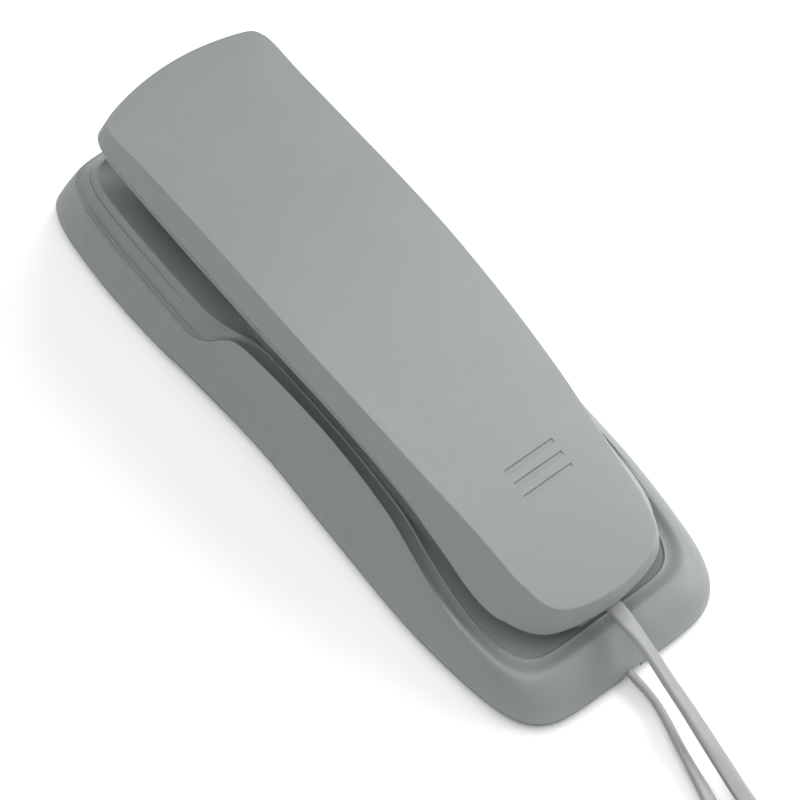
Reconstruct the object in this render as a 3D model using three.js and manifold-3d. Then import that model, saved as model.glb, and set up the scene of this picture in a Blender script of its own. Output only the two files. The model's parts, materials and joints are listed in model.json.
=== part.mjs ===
// Slimline wall telephone: a long handset lies face down on a narrow base, and a curly cord joins the two.
// Millimetres. +Z is up from the rear face, +Y runs towards the earpiece end, X is the width.
// The origin is under the middle of the base, on the surface that its feet stand on.

import * as THREE from 'three';
import { mergeVertices } from 'three/addons/utils/BufferGeometryUtils.js';
import Module from 'manifold-3d';

const wasm = await Module();
wasm.setup();

// Driving dimensions.
const BASE_LENGTH = 220;
const FOOT_HEIGHT = 1.5;
const COVER_TOP = 3.7;
const SEAM_GAP = 0.3;
const WALL = 2.2;
const CROWN = 1.5;
const FACE_DROP = 1.2;
const SIDE_STEPS = 30;
const END_STEPS = 10;
const CORD_WIDTH = 4.6;
const CORD_THICKNESS = 2.4;
const CURL_DIAMETER = 12.5;
const CURL_SPACING = 17;
const KEYHOLE_SPACING = 98;

const BASE_END = BASE_LENGTH / 2;
const SHELL_BOTTOM = COVER_TOP + SEAM_GAP;

// A smooth function through a few [y, value] stations, level beyond the first and the last.
function through(...stations) {
  const last = stations.length - 1;
  const slopes = stations.map((station, i) => {
    const before = stations[Math.max(i - 1, 0)];
    const after = stations[Math.min(i + 1, last)];
    return (after[1] - before[1]) / (after[0] - before[0]);
  });
  return (y) => {
    if (y <= stations[0][0]) return stations[0][1];
    if (y >= stations[last][0]) return stations[last][1];
    const i = stations.findIndex((station) => station[0] > y) - 1;
    const [y0, v0] = stations[i];
    const [y1, v1] = stations[i + 1];
    const span = y1 - y0;
    const t = (y - y0) / span;
    const rise = t * t * (3 - 2 * t);
    return v0 + (v1 - v0) * rise + span * t * (1 - t) * (slopes[i] * (1 - t) - slopes[i + 1] * t);
  };
}

// Heights and half widths along the telephone, from the mouthpiece end (-Y) to the earpiece end (+Y).
const baseWidth = through([-110, 38.6], [-85, 39], [-60, 39.8], [-25, 39], [5, 38.3], [35, 40], [52, 41.4],
  [72, 41.9], [95, 41.2], [110, 40.4]);
const edgeWidth = through([-103, 33.8], [-90, 33.5], [-68, 33], [-55, 31.8], [-42, 30.4], [-20, 30], [0, 30.6],
  [18, 31.8], [25, 32.8], [33, 35.8], [40, 36.4], [80, 36.2], [103, 36]);
const edgeHeight = through([-103, 16.6], [-90, 17.4], [-80, 18.8], [-68, 21.4], [-55, 25], [-42, 28.6], [-20, 32.5],
  [0, 33.6], [18, 33.4], [24, 31.8], [31, 25.4], [37, 22.6], [103, 21.6]);
const wallBulge = through([-103, 2.2], [-75, 1.5], [-40, 1]);
const lineWidth = through([-97, 28], [-78, 28.2], [-57, 26.9], [-40, 25.1], [12, 25.2], [22, 26.2], [32, 30],
  [40, 31.4], [97, 31.6]);
const lineHeight = through([-97, 15.5], [-85, 15.8], [-65, 18.5], [-45, 22], [-20, 25.4], [20, 26.4], [40, 27.6],
  [97, 27.8]);
const floorHeight = through([-97, 13.4], [-65, 15], [-40, 17.6], [-20, 20], [97, 20]);
const ridgeWidth = through([-100, 22.6], [-75, 21.8], [-45, 24.2], [-20, 25.6], [10, 26.5], [70, 26.6], [84, 27.2],
  [96, 27.4]);
const ridgeHeight = through([-100, 38.4], [-85, 43], [-60, 49.3], [-45, 52.3], [-20, 55.7], [12, 57.5], [50, 56.8],
  [96, 54.6]);
const seamWidth = through([-100, 25], [-80, 28.2], [-62, 27.7], [-45, 27.6], [-20, 28.6], [20, 29.9], [60, 30.1],
  [98, 29.4]);
const seamHeight = through([-100, 26.6], [-90, 26.9], [-80, 28.2], [-62, 33.6], [-45, 39.8], [-20, 45.4],
  [10, 47.2], [50, 47.5], [98, 46.8]);
const faceHeight = through([-100, 25], [-90, 25.3], [-80, 26.6], [-62, 30.7], [-45, 35.6], [-20, 40.6], [10, 42.2],
  [50, 42.5], [98, 42]);
const faceOut = (y) => faceHeight(y) - FACE_DROP;

// Points round a unit square, anticlockwise seen from above, from its mouthpiece -X corner. They crowd
// towards the corners, where the outline turns.
function squarePoints() {
  const along = (i, steps, crowding) => {
    const s = -1 + (2 * i) / steps;
    return s * (1 - crowding) + Math.sin((s * Math.PI) / 2) * crowding;
  };
  const points = [];
  for (let i = 0; i < END_STEPS; i += 1) points.push([along(i, END_STEPS, 1), -1]);
  for (let i = 0; i < SIDE_STEPS; i += 1) points.push([1, along(i, SIDE_STEPS, 0.65)]);
  for (let i = 0; i < END_STEPS; i += 1) points.push([-along(i, END_STEPS, 1), 1]);
  for (let i = 0; i < SIDE_STEPS; i += 1) points.push([-1, -along(i, SIDE_STEPS, 0.65)]);
  return points;
}

// A closed loop round the telephone: a superellipse in plan, squarer where its power is higher.
function loop({ mic, ear, width, height, micPower = 4.4, earPower = 11, bow = 0, inset = 0, scale = 1 }) {
  const middle = (mic + ear) / 2;
  const reach = (ear - mic) / 2 - inset;
  return squarePoints().map(([u, v]) => {
    const power = v < 0 ? micPower : earPower;
    const pull = (Math.abs(u) ** power + Math.abs(v) ** power) ** (-1 / power);
    const y = middle + reach * pull * v * (1 - (1 - scale) * 0.35) - Math.sign(v) * bow * u * u * v ** 4;
    return new THREE.Vector3(pull * u * (width(y) - inset) * scale, y, height(y));
  });
}

// A closed body from a stack of loops. The first and last loops are closed by rungs across the width.
function stackLoops(loops) {
  const count = loops[0].length;
  const positions = loops.flat().flatMap((p) => [p.x, p.y, p.z]);
  const faces = [];
  for (let k = 0; k + 1 < loops.length; k += 1) {
    for (let i = 0; i < count; i += 1) {
      const a = k * count + i;
      const b = k * count + ((i + 1) % count);
      faces.push(a, b, b + count, a, b + count, a + count);
    }
  }
  const closeLoop = (offset, flip) => {
    const add = (a, b, c) => faces.push(offset + a, offset + (flip ? c : b), offset + (flip ? b : c));
    const left = (j) => (2 * END_STEPS + 2 * SIDE_STEPS - j) % count;
    for (let j = 0; j < SIDE_STEPS; j += 1) {
      add(END_STEPS + j, END_STEPS + j + 1, left(j + 1));
      add(END_STEPS + j, left(j + 1), left(j));
    }
    for (let i = 1; i < END_STEPS; i += 1) {
      add(0, i, i + 1);
      add(END_STEPS + SIDE_STEPS, END_STEPS + SIDE_STEPS + i, END_STEPS + SIDE_STEPS + i + 1);
    }
  };
  closeLoop(0, true);
  closeLoop((loops.length - 1) * count, false);
  const geometry = new THREE.BufferGeometry();
  geometry.setAttribute('position', new THREE.Float32BufferAttribute(positions, 3));
  geometry.setIndex(faces);
  return geometry;
}

// A geometry as a solid for joining and cutting, and back again.
function solid(geometry) {
  const bare = geometry.clone();
  bare.deleteAttribute('normal');
  bare.deleteAttribute('uv');
  const merged = mergeVertices(bare, 1e-4);
  return new wasm.Manifold(new wasm.Mesh({
    numProp: 3,
    vertProperties: new Float32Array(merged.attributes.position.array),
    triVerts: new Uint32Array(merged.index.array),
  }));
}

function toGeometry(body) {
  const mesh = body.getMesh();
  const geometry = new THREE.BufferGeometry();
  geometry.setAttribute('position', new THREE.BufferAttribute(new Float32Array(mesh.vertProperties), 3));
  geometry.setIndex(new THREE.BufferAttribute(new Uint32Array(mesh.triVerts), 1));
  return geometry;
}

// One geometry with other geometries joined on and cut away.
function shaped(geometry, joined, cut) {
  let body = solid(geometry);
  for (const piece of joined) body = body.add(solid(piece));
  for (const piece of cut) body = body.subtract(solid(piece));
  return toGeometry(body);
}

// A box between two corners.
function box(low, high) {
  const size = high.map((value, i) => value - low[i]);
  return new THREE.BoxGeometry(...size).translate(...low.map((value, i) => value + size[i] / 2));
}

// An upright round bar.
function post(x, y, low, high, radius, sides = 24) {
  return new THREE.CylinderGeometry(radius, radius, high - low, sides).rotateX(Math.PI / 2)
    .translate(x, y, (low + high) / 2);
}

// A round body turned about an upright axis, from its [radius, height] outline.
function turned(outline, x, y, sides) {
  return new THREE.LatheGeometry(outline.map(([r, z]) => new THREE.Vector2(r, z)), sides).rotateX(Math.PI / 2)
    .translate(x, y, 0);
}

// A box with rounded upright edges.
function roundedBlock(x, y, low, high, width, length, radius, steps = 3) {
  const shape = new THREE.Shape();
  const w = width / 2 - radius;
  const l = length / 2 - radius;
  shape.absarc(w, l, radius, 0, Math.PI / 2);
  shape.absarc(-w, l, radius, Math.PI / 2, Math.PI);
  shape.absarc(-w, -l, radius, Math.PI, 1.5 * Math.PI);
  shape.absarc(w, -l, radius, 1.5 * Math.PI, 2 * Math.PI);
  shape.closePath();
  return new THREE.ExtrudeGeometry(shape, { depth: high - low, bevelEnabled: false, curveSegments: steps })
    .translate(x, y, low);
}

const telephone = new THREE.Group();

function add(name, geometry, color, roughness = 0.5, metalness = 0) {
  const mesh = new THREE.Mesh(geometry, new THREE.MeshStandardMaterial({ color, roughness, metalness }));
  mesh.name = name;
  telephone.add(mesh);
}

const SHELL_GREY = 0x9aa3a2;
const CORD_GREY = 0xa9aba8;
const BLACK_PLASTIC = 0x1c1d1f;
const BOARD_GREEN = 0x2d5b3c;
const RUBBER = 0x2b2c2d;
const STEEL = 0xb4b6b8;

// The base: its top shell carries the cradle, and its rear cover closes the underside.
const BASE_FORM = { micPower: 7.4, earPower: 12 };
const LINE_FORM = { micPower: 8, earPower: 9, mic: -96.5, ear: 97 };
const JACK_Y = [-91, -78.5];
const CORD_POCKET = { halfWidth: 8, mic: -105, ear: JACK_Y[1] + 0.3 };
const PLUNGER = { y: 43, radius: 4, flange: 12.2 };
const HOOK_REST = { y: 66, halfWidth: 17 };
const EAR_CENTRE = 70;
const EAR_BOSS_DEPTH = 3.8;
const HANDSET_PLUG_Y = -94.9;
const BASE_PLUG_Y = -103.4;
const RINGER_SLOT = { x: 37.5, y: -8, z: 12 };
const SCREW_POSTS = [[-26, -70], [26, -70], [-30, 84], [30, 84]];
const LINE_JACK = { x: 0, y: 8, width: 12, length: 10 };

function baseOutline(inset, height) {
  return loop({ ...BASE_FORM, mic: -BASE_END, ear: BASE_END, width: baseWidth, height: () => height, inset });
}

function wallLoop(fraction, inset) {
  const width = (y) => baseWidth(y) + (edgeWidth(y) - baseWidth(y)) * fraction ** wallBulge(y);
  const height = (y) => SHELL_BOTTOM + (edgeHeight(y) - SHELL_BOTTOM) * fraction;
  const mic = -BASE_END + 7.4 * fraction ** 2;
  const ear = BASE_END - 7 * fraction;
  return loop({ ...BASE_FORM, mic, ear, width, height, inset });
}

function baseTopShell() {
  const under = (height, drop) => (y) => height(y) - drop;
  const outside = [
    wallLoop(0, 0),
    wallLoop(0.35, 0),
    wallLoop(0.7, 0),
    wallLoop(1, 0),
    loop({ ...LINE_FORM, width: lineWidth, height: lineHeight }),
    loop({ ...LINE_FORM, width: lineWidth, height: floorHeight, inset: 0.8 }),
  ];
  const inside = [
    loop({ ...LINE_FORM, width: lineWidth, height: under(floorHeight, WALL), inset: -1.4 }),
    loop({ ...LINE_FORM, width: lineWidth, height: under(lineHeight, 2.4), inset: -1.9 }),
    wallLoop(0.84, WALL - 0.4),
    wallLoop(0.5, WALL),
    wallLoop(0, WALL),
  ];
  const shell = stackLoops([...inside, ...outside]);
  const restTop = faceOut(HOOK_REST.y) - 0.4;
  const rest = roundedBlock(0, HOOK_REST.y, 19, restTop, HOOK_REST.halfWidth * 2, 30, 5);
  const cupFloor = faceOut(EAR_CENTRE) - EAR_BOSS_DEPTH - 0.4;
  const earCup = post(0, EAR_CENTRE, cupFloor, 60, 13);
  const restHollow = box([-HOOK_REST.halfWidth + 2, HOOK_REST.y - 13, 12],
    [HOOK_REST.halfWidth - 2, HOOK_REST.y + 13, cupFloor - 2]);
  const plungerHole = post(0, PLUNGER.y, 10, 50, PLUNGER.radius + 0.4);
  const ringerSlot = box([RINGER_SLOT.x - 8, RINGER_SLOT.y - 5, RINGER_SLOT.z - 1.5],
    [RINGER_SLOT.x + 8, RINGER_SLOT.y + 5, RINGER_SLOT.z + 1.5]);
  const cordNotch = box([-3.2, -BASE_END - 2, 0], [3.2, -98, SHELL_BOTTOM + 0.8]);
  const screwBosses = SCREW_POSTS.map(([x, y]) => post(x, y, SHELL_BOTTOM + 0.5, floorHeight(y) - 1, 3.4, 16));
  const screwHoles = SCREW_POSTS.map(([x, y]) => post(x, y, 2, SHELL_BOTTOM + 9, 1.3, 12));
  return shaped(shell, [rest, ...screwBosses],
    [plungerHole, earCup, restHollow, ringerSlot, cordNotch, ...screwHoles]);
}

// A keyhole slot: a round entry for a stud's head, and a narrower neck above it.
function keyhole(y) {
  return [post(0, y, 0, 6, 5, 20), box([-2.6, y, 0], [2.6, y + 9, 6])];
}

function baseRearCover() {
  const plate = stackLoops([
    baseOutline(1.2, FOOT_HEIGHT),
    baseOutline(0.2, FOOT_HEIGHT + 0.9),
    baseOutline(0, COVER_TOP),
  ]);
  const pocket = box([-CORD_POCKET.halfWidth, CORD_POCKET.mic, 0], [CORD_POCKET.halfWidth, CORD_POCKET.ear, 6]);
  const notch = box([-3.2, -BASE_END - 2, 0], [3.2, CORD_POCKET.mic + 1, 6]);
  const lineHole = box([LINE_JACK.x - LINE_JACK.width / 2, LINE_JACK.y - LINE_JACK.length / 2, 0],
    [LINE_JACK.x + LINE_JACK.width / 2, LINE_JACK.y + LINE_JACK.length / 2, 6]);
  const screwHoles = SCREW_POSTS.map(([x, y]) => post(x, y, 0, 6, 2, 12));
  const headWells = SCREW_POSTS.map(([x, y]) => post(x, y, 0, FOOT_HEIGHT + 1.1, 3.2, 16));
  const keyholes = [-KEYHOLE_SPACING / 2, KEYHOLE_SPACING / 2].flatMap((y) => keyhole(y + 3));
  return shaped(plate, [], [pocket, notch, lineHole, ...screwHoles, ...headWells, ...keyholes]);
}

function buildBase() {
  add('base_top_shell', baseTopShell(), SHELL_GREY);
  add('base_rear_cover', baseRearCover(), SHELL_GREY);
  const feet = [[-30, -92], [30, -92], [-33, 98], [33, 98]];
  feet.forEach(([x, y], i) => add(`rubber_foot_${i + 1}`, post(x, y, 0, FOOT_HEIGHT - 0.3, 4.5), RUBBER, 0.9));
  SCREW_POSTS.forEach(([x, y], i) => {
    const head = post(x, y, FOOT_HEIGHT, FOOT_HEIGHT + 0.9, 2.8, 16);
    const shank = post(x, y, FOOT_HEIGHT + 0.5, SHELL_BOTTOM + 8, 1, 12);
    const slot = box([x - 2, y - 0.3, 0], [x + 2, y + 0.3, FOOT_HEIGHT + 0.4]);
    add(`base_screw_${i + 1}`, shaped(head, [shank], [slot]), STEEL, 0.3, 1);
  });
}

// What the base holds: a circuit board, the ringer, the hook switch and its plunger, and two jacks.
function buildBaseParts() {
  const boardTop = 7.6;
  add('base_circuit_board', box([-22, 15, 6], [22, 76, boardTop]), BOARD_GREEN, 0.6);
  add('tone_ringer', post(12, -30, SHELL_BOTTOM + 0.3, 13, 11, 28), BLACK_PLASTIC);
  const { flange, radius } = PLUNGER;
  add('hook_switch', box([-5, PLUNGER.y + 5, boardTop + 0.3], [5, PLUNGER.y + 13, flange - 0.3]), BLACK_PLASTIC);
  const tip = faceOut(PLUNGER.y) - 0.4;
  const stem = [[0, flange], [radius + 1.6, flange], [radius + 1.6, flange + 0.9], [radius, flange + 0.9],
    [radius, tip - 1.3], [radius - 1.2, tip], [0, tip]];
  add('hook_plunger', turned(stem, 0, PLUNGER.y, 20), SHELL_GREY);
  const [low, high] = [boardTop + 0.3, flange - 0.3];
  add('hook_spring', turned([[3.1, low], [3.9, low], [3.9, high], [3.1, high], [3.1, low]], 0, PLUNGER.y, 16),
    STEEL, 0.3, 1);
  const jack = box([-7.5, JACK_Y[0], 2], [7.5, JACK_Y[1], 10.6]);
  add('base_cord_jack', shaped(jack, [], [box([-4.3, JACK_Y[0] - 1, 1.5], [4.3, JACK_Y[1] - 2, 8.6])]),
    BLACK_PLASTIC);
  const half = LINE_JACK.width / 2 - 0.3;
  const lineBody = box([-half, LINE_JACK.y - 4.7, 2], [half, LINE_JACK.y + 4.7, 16.4]);
  const lineMouth = box([-4.9, LINE_JACK.y - 3.4, 1], [4.9, LINE_JACK.y + 3.4, 13]);
  add('line_jack', shaped(lineBody, [], [lineMouth]), BLACK_PLASTIC);
  const { x, y, z } = RINGER_SLOT;
  add('ringer_switch_body', box([x - 10, y - 6, z - 4], [x - 5.6, y + 6, z + 4]), BLACK_PLASTIC);
  const knob = box([x - 5.3, y - 1.8, z - 1.2], [x + 1.6, y + 1.8, z + 1.2]);
  add('ringer_slider', knob, BLACK_PLASTIC);
}

// The handset: its back shell faces up, and its face shell, with the keys, faces down into the cradle.
const HANDSET_FORM = { micPower: 9, earPower: 26, bow: 6 };
const SEAM_ENDS = { mic: -99.2, ear: 98.5 };
const RIDGE_ENDS = { mic: -100, ear: 95.8 };
const MOUTH_BOSS = { low: 17.2, high: 26, halfWidth: 9, mic: -96, ear: -80 };
const KEY_PITCH = { x: 13, y: 11.5 };
const KEY_ROWS_START = 20;

function handsetLoop(ends, width, height, options = {}) {
  return loop({ ...HANDSET_FORM, ...ends, width, height, ...options });
}

const shifted = (height, amount) => (y) => height(y) + amount;

function handsetBackShell() {
  const shell = stackLoops([
    handsetLoop(RIDGE_ENDS, ridgeWidth, shifted(ridgeHeight, CROWN * 0.6 - WALL), { inset: WALL, scale: 0.45 }),
    handsetLoop(RIDGE_ENDS, ridgeWidth, shifted(ridgeHeight, -WALL), { inset: WALL }),
    handsetLoop(SEAM_ENDS, seamWidth, shifted(seamHeight, SEAM_GAP / 2), { inset: WALL }),
    handsetLoop(SEAM_ENDS, seamWidth, shifted(seamHeight, SEAM_GAP / 2)),
    handsetLoop(RIDGE_ENDS, ridgeWidth, ridgeHeight),
    handsetLoop(RIDGE_ENDS, ridgeWidth, shifted(ridgeHeight, CROWN * 0.55), { scale: 0.66 }),
    handsetLoop(RIDGE_ENDS, ridgeWidth, shifted(ridgeHeight, CROWN), { scale: 0.25 }),
  ]);
  const grips = [0, 1, 2].map((i) => {
    const y = -61 - 4 * i;
    const top = ridgeHeight(y) + CROWN;
    return box([-6, y - 0.8, top - 0.5], [10, y + 0.8, top + 3]);
  });
  return shaped(shell, [], grips);
}

function keyPlaces() {
  const names = ['1', '2', '3', '4', '5', '6', '7', '8', '9', 'star', '0', 'hash'];
  return names.map((name, i) => {
    const x = (1 - (i % 3)) * KEY_PITCH.x;
    const y = KEY_ROWS_START - Math.floor(i / 3) * KEY_PITCH.y;
    return { name: `key_${name}`, x, y, width: 9.6, length: 7 };
  }).concat([
    { name: 'key_flash', x: KEY_PITCH.x, y: KEY_ROWS_START + 12, width: 9.6, length: 4.4 },
    { name: 'key_redial', x: -KEY_PITCH.x, y: KEY_ROWS_START + 12, width: 9.6, length: 4.4 },
  ]);
}

function handsetFaceShell() {
  const shell = stackLoops([
    handsetLoop(SEAM_ENDS, seamWidth, faceOut, { inset: 2.4 }),
    handsetLoop(SEAM_ENDS, seamWidth, faceHeight, { inset: 0.8 }),
    handsetLoop(SEAM_ENDS, seamWidth, shifted(seamHeight, -SEAM_GAP / 2)),
    handsetLoop(SEAM_ENDS, seamWidth, shifted(seamHeight, -SEAM_GAP / 2), { inset: WALL }),
    handsetLoop(SEAM_ENDS, seamWidth, (y) => Math.min(faceHeight(y) + 1, seamHeight(y) - 0.5), { inset: WALL + 0.4 }),
    handsetLoop(SEAM_ENDS, seamWidth, shifted(faceOut, 2), { inset: 4.4 }),
  ]);
  const earBoss = post(0, EAR_CENTRE, faceOut(EAR_CENTRE) - EAR_BOSS_DEPTH, faceOut(EAR_CENTRE) + 1, 11.5, 32);
  const earHollow = post(0, EAR_CENTRE, faceOut(EAR_CENTRE) - 2, faceOut(EAR_CENTRE) + 4, 9.6, 32);
  const { low, high, halfWidth, mic, ear } = MOUTH_BOSS;
  const mouthBoss = roundedBlock(0, (mic + ear) / 2, low, high, halfWidth * 2, ear - mic, 2);
  const mouthFoot = box([-6, ear - 8, floorHeight(ear) + 0.4], [6, ear - 0.5, low + 0.5]);
  const plugBay = box([-4.4, mic - 4, low + 1.2], [4.4, ear - 3, high - 0.7]);
  const bayTop = box([-6.4, -93, low + 2], [6.4, ear - 1.5, high + 5]);
  const cordNotch = box([-3.9, mic - 4, 10], [3.9, HANDSET_PLUG_Y - 0.1, 26]);
  const soundHoles = [0, 1, 2, 3, 4, 5, 6].map((i) => {
    const angle = (i * Math.PI) / 3;
    const reach = i === 6 ? 0 : 4.5;
    return post(reach * Math.cos(angle), EAR_CENTRE + reach * Math.sin(angle), 30, 46, 0.9, 8);
  });
  const voiceHoles = [-1, 0, 1].map((i) => box([i * 3 - 0.6, -76, 20], [i * 3 + 0.6, -70, 32]));
  const keyHoles = keyPlaces().map(({ x, y, width, length }) => (
    box([x - width / 2 - 0.3, y - length / 2 - 0.3, 30], [x + width / 2 + 0.3, y + length / 2 + 0.3, 46])));
  return shaped(shell, [earBoss, mouthBoss, mouthFoot],
    [earHollow, plugBay, bayTop, cordNotch, ...soundHoles, ...voiceHoles, ...keyHoles]);
}

// What the handset holds.
function buildHandset() {
  add('handset_back_shell', handsetBackShell(), SHELL_GREY);
  add('handset_face_shell', handsetFaceShell(), SHELL_GREY);
  const flangeTop = 44.6;
  for (const { name, x, y, width, length } of keyPlaces()) {
    const cap = roundedBlock(x, y, faceOut(y) - 1.6, flangeTop - 0.5, width, length, 1.2, 2);
    const flange = box([x - width / 2 - 0.7, y - length / 2 - 0.7, flangeTop - 0.6],
      [x + width / 2 + 0.7, y + length / 2 + 0.7, flangeTop]);
    add(name, shaped(cap, [flange], []), 0xb9bfbe);
  }
  const matLow = flangeTop + 1.8;
  add('key_mat', box([-21, -20, matLow], [21, 37, matLow + 1]), 0x8b8f92, 0.9);
  add('handset_circuit_board', box([-21.5, -24, matLow + 1.3], [21.5, 46, matLow + 2.9]), BOARD_GREEN, 0.6);
  const capsuleLow = faceOut(EAR_CENTRE) - 1.7;
  add('receiver_capsule', post(0, EAR_CENTRE, capsuleLow, capsuleLow + 8, 9.2, 28), BLACK_PLASTIC);
  const ring = [[9.6, 44.6], [12.4, 44.6], [12.4, 47], [9.6, 47], [9.6, 44.6]];
  add('receiver_ring', turned(ring, 0, EAR_CENTRE, 28), RUBBER, 0.9);
  add('microphone', post(0, -71, 34.2, 37.4, 4.4, 20), STEEL, 0.4, 1);
  const boot = [[4.7, 32.8], [6, 32.8], [6, 38], [4.7, 38], [4.7, 32.8]];
  add('microphone_boot', turned(boot, 0, -71, 20), RUBBER, 0.9);
  add('handset_cord_jack', handsetJack(), BLACK_PLASTIC);
  add('balance_weight', box([-14, -58, 40], [14, -38, 44.5]), STEEL, 0.5, 1);
  [[-19, 84], [19, 84]].forEach(([x, y], i) => {
    add(`handset_screw_${i + 1}`, shaped(post(x, y, 44, 45.4, 2.4, 14), [post(x, y, 45, 51, 1, 10)], []),
      STEEL, 0.3, 1);
  });
}

// The jack is a hood over the inner part of the plug bay.
function handsetJack() {
  const body = box([-6, -92.4, 19.9], [6, -82, 29.5]);
  return shaped(body, [], [box([-4.1, -94, 19.5], [4.1, -83.5, 25.6])]);
}

// The handset cord: flat straight ends, and a curly middle folded into four runs in line with the telephone.
const RUNS_START = -186;
const RUNS_LENGTH = 84;
const RUN_X = [-1.5, -0.5, 0.5, 1.5].map((step) => step * CURL_SPACING);
const CURL_HEIGHT = CURL_DIAMETER / 2 + 1.1;
const FLAT_HEIGHT = CORD_THICKNESS / 2 + 0.1;

const HANDSET_LEAD_ROUTE = [
  [0.6, -95.3, 23.4], [1.2, -99.5, 23.5], [1.2, -104, 23.1], [1.2, -109, 22], [1.2, -115, 19.5], [1.2, -122, 15.8],
  [1.4, -129, 12], [1.3, -137, 8], [0.8, -145, 5.2], [0, -154, 3], [-0.5, -162, 1.8], [0.4, -170, FLAT_HEIGHT],
  [4, -178, FLAT_HEIGHT], [10.5, -186, 1.5], [17.2, -193.5, 2.4], [22.2, -200.5, 4.2], [24.9, -207, 6.3],
  [25.5, -213.7, CURL_HEIGHT],
];
const BASE_LEAD_ROUTE = [
  [0, BASE_PLUG_Y - 0.5, 3.4], [-0.5, -107, 3.2], [-0.8, -111, 3], [-0.6, -116, 2.8], [-0.9, -121, 2.7],
  [-2, -126.5, 2.65], [-3.6, -132.5, 2.6], [-5.4, -140, 2.5], [-7.5, -149, 2.3], [-10.2, -158, 1.9],
  [-13.6, -167, 1.5], [-17.2, -177, 1.5], [-20.4, -186, 1.9], [-23.2, -195, 3.2], [-24.9, -204, 5.4],
  [-25.5, -213.7, CURL_HEIGHT],
];

// A flat eight-sided section, and a plain extruded tube of it.
function flatSection() {
  const shape = new THREE.Shape();
  for (let i = 0; i < 8; i += 1) {
    const angle = ((i + 0.5) * Math.PI) / 4;
    const reach = 1 / Math.cos(Math.PI / 8);
    shape[i ? 'lineTo' : 'moveTo']((CORD_THICKNESS / 2) * reach * Math.cos(angle),
      (CORD_WIDTH / 2) * reach * Math.sin(angle));
  }
  shape.closePath();
  return shape;
}

function flatTube(route) {
  const path = new THREE.CatmullRomCurve3(route.map((p) => new THREE.Vector3(...p)), false, 'centripetal');
  const section = flatSection();
  return new THREE.ExtrudeGeometry(section, { extrudePath: path, steps: Math.round(path.getLength() / 10) });
}

// The runs turn back on half circles between neighbours.
function curlyTube() {
  const path = new THREE.CurvePath();
  const near = RUNS_START - 28;
  const far = near - RUNS_LENGTH;
  const at = (x, y) => new THREE.Vector3(x, y, CURL_HEIGHT);
  RUN_X.slice().reverse().forEach((x, i) => {
    const [start, end] = i % 2 ? [far, near] : [near, far];
    path.add(new THREE.LineCurve3(at(x, start), at(x, end)));
    if (i < 3) path.add(new HalfTurn(x, end, i % 2 ? 1 : -1));
  });
  const shape = new THREE.Shape();
  shape.absarc(0, 0, CURL_DIAMETER / 2, 0, 2 * Math.PI);
  return new THREE.ExtrudeGeometry(shape, { extrudePath: path, steps: 44, curveSegments: 4 });
}

class HalfTurn extends THREE.Curve {
  constructor(x, y, side) {
    super();
    this.centre = new THREE.Vector3(x - CURL_SPACING / 2, y, CURL_HEIGHT);
    this.side = side;
  }

  getPoint(t, target = new THREE.Vector3()) {
    const angle = Math.PI * t;
    const radius = CURL_SPACING / 2;
    return target.set(this.centre.x + radius * Math.cos(angle),
      this.centre.y + this.side * radius * Math.sin(angle), this.centre.z);
  }
}

// The tie goes round all four runs.
function cordTie() {
  const halfWidth = RUN_X[3] + CURL_DIAMETER / 2 + 0.4;
  const top = CURL_HEIGHT + CURL_DIAMETER / 2 + 0.4;
  const bottom = CURL_HEIGHT - CURL_DIAMETER / 2 - 0.3;
  const y = RUNS_START - 28 - RUNS_LENGTH / 2;
  const outer = roundedBlock(0, 0, y - 2.5, y + 2.5, halfWidth * 2 + 1.6, top - bottom + 1.6, 3.5);
  const inner = roundedBlock(0, 0, y - 4, y + 4, halfWidth * 2, top - bottom, 2.7);
  const ring = toGeometry(solid(outer).subtract(solid(inner)));
  return ring.rotateX(Math.PI / 2).translate(0, 2 * y, (top + bottom) / 2);
}

// A modular plug: a clear block with a spring latch on one side.
function modularPlug(y, z, latchSide) {
  const block = box([-3.8, y, z - 2.4], [3.8, y + 11, z + 2.4]);
  const latch = box([-1.6, y + 1.5, z + latchSide * 3 - 0.5], [1.6, y + 10.5, z + latchSide * 3 + 0.5]);
  const root = box([-1.6, y + 9, z + (latchSide > 0 ? 2 : -3)], [1.6, y + 10.5, z + (latchSide > 0 ? 3 : -2)]);
  return shaped(block, [latch, root], []);
}

function buildCord() {
  add('handset_plug', modularPlug(HANDSET_PLUG_Y, 22.2, -1), 0xc9d2d4, 0.2);
  add('base_plug', modularPlug(BASE_PLUG_Y, 5.4, 1), 0xc9d2d4, 0.2);
  add('handset_lead', flatTube(HANDSET_LEAD_ROUTE), CORD_GREY);
  add('base_lead', flatTube(BASE_LEAD_ROUTE), CORD_GREY);
  add('curly_cord', curlyTube(), CORD_GREY);
  add('cord_tie', cordTie(), BLACK_PLASTIC);
}

buildBase();
buildBaseParts();
buildHandset();
buildCord();

export default telephone;
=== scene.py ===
import json
import math

import bpy
import numpy as np
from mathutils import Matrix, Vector


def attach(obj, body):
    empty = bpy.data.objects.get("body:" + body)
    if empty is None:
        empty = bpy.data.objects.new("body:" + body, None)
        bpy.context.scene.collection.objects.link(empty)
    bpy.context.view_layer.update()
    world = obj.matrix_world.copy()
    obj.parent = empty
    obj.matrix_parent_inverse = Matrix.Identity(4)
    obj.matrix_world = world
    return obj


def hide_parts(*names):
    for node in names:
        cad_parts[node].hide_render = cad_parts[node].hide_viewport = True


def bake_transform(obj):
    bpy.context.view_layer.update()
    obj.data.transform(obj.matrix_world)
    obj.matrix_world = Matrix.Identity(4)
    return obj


# The looks of a slimline wall telephone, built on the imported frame. Lengths below are in millimetres and
# become metres where a mesh is made. +Z is up, +Y runs to the earpiece end and X is the width.

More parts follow.
